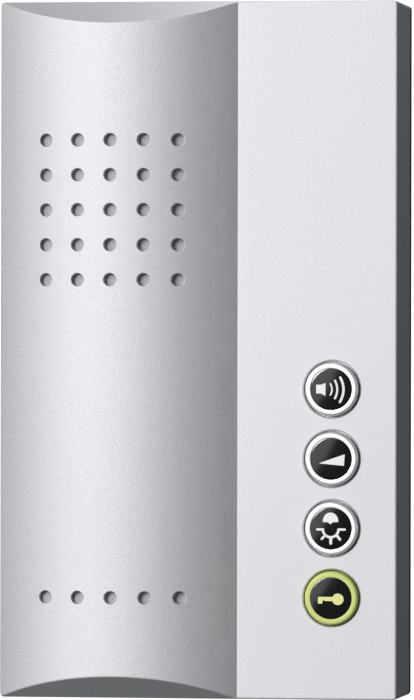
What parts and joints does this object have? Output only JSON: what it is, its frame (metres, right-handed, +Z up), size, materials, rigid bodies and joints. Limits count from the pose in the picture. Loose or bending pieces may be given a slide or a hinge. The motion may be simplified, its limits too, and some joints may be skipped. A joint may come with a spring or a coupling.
{
  "type": "hands-free intercom station",
  "caption": "Wall-mounted hands-free door intercom station with a curved speaker field, a flat panel of round push buttons and a screw-on back plate.",
  "frame": {"origin": "middle of the back plate's face, on the wall", "axes": "+Z up, +X to the viewer's right, +Y into the wall, so the front faces -Y"},
  "size_m": [0.115, 0.047, 0.2],
  "materials": {
    "silver_shell": "fine-grained silver moulding",
    "back_plate": "dark grey moulding",
    "board_laminate": "green solder mask",
    "screw_steel": "zinc plated",
    "black_moulding": "black moulding",
    "terminal_green": "green moulding",
    "capacitor_sleeve": "shrink sleeve",
    "winding_tape": "yellow tape",
    "white_moulding": "natural nylon",
    "sheet_steel": "pressed sheet",
    "tag_laminate": "phenolic laminate",
    "magnet_ferrite": "ferrite",
    "coil_copper": "enamelled copper",
    "speaker_paper": "pale diaphragm",
    "black_rubber": "soft rubber and foam",
    "lead_red": "flexible insulation",
    "acoustic_cloth": "pale grey acoustic cloth",
    "capsule_can": "drawn can",
    "holder_grey": "grey moulding",
    "button_rim": "bright silver",
    "door_rim": "translucent yellow-green",
    "black_gloss": "high gloss"
  },
  "bodies": {
    "station": {"base_plate": "back_plate", "front_cover": "silver_shell", "main_board": "board_laminate", "board_screws": "screw_steel", "switch_bodies": "black_moulding", "terminal_block": "terminal_green", "terminal_screws": "screw_steel", "filter_capacitors": "capacitor_sleeve", "audio_chip": "black_moulding", "bridge_rectifier": "black_moulding", "line_transformer": "winding_tape", "lead_headers": "white_moulding", "speaker_basket": "sheet_steel", "speaker_tag_strip": "tag_laminate", "speaker_magnet": "magnet_ferrite", "speaker_yoke": "screw_steel", "speaker_voice_coil": "coil_copper", "speaker_cone": "speaker_paper", "speaker_surround": "black_rubber", "speaker_dust_cap": "speaker_paper", "speaker_gasket": "black_rubber", "speaker_screws": "screw_steel", "speaker_leads": "lead_red", "grille_cloth": "acoustic_cloth", "microphone_cloth": "acoustic_cloth", "microphone_capsule": "capsule_can", "microphone_boot": "black_rubber", "microphone_holder": "holder_grey", "holder_screws": "screw_steel", "microphone_leads": "lead_red"},
    "talk_key": {"talk_button": "button_rim", "talk_inlay": "black_gloss", "talk_plunger": "white_moulding"},
    "volume_key": {"volume_button": "button_rim", "volume_inlay": "black_gloss", "volume_plunger": "white_moulding"},
    "light_key": {"light_button": "button_rim", "light_inlay": "black_gloss", "light_plunger": "white_moulding"},
    "door_key": {"door_button": "door_rim", "door_inlay": "black_gloss", "door_plunger": "white_moulding"}
  },
  "joints": [
    {"name": "talk_press", "type": "slide", "parent": "station", "child": "talk_key", "axis": [0, 1, 0], "range_m": [0, 0.0012], "stiffness_N_per_m": 900, "springref_m": -0.0008},
    {"name": "volume_press", "type": "slide", "parent": "station", "child": "volume_key", "axis": [0, 1, 0], "range_m": [0, 0.0012], "stiffness_N_per_m": 900, "springref_m": -0.0008},
    {"name": "light_press", "type": "slide", "parent": "station", "child": "light_key", "axis": [0, 1, 0], "range_m": [0, 0.0012], "stiffness_N_per_m": 900, "springref_m": -0.0008},
    {"name": "door_press", "type": "slide", "parent": "station", "child": "door_key", "axis": [0, 1, 0], "range_m": [0, 0.0012], "stiffness_N_per_m": 900, "springref_m": -0.0008}
  ]
}
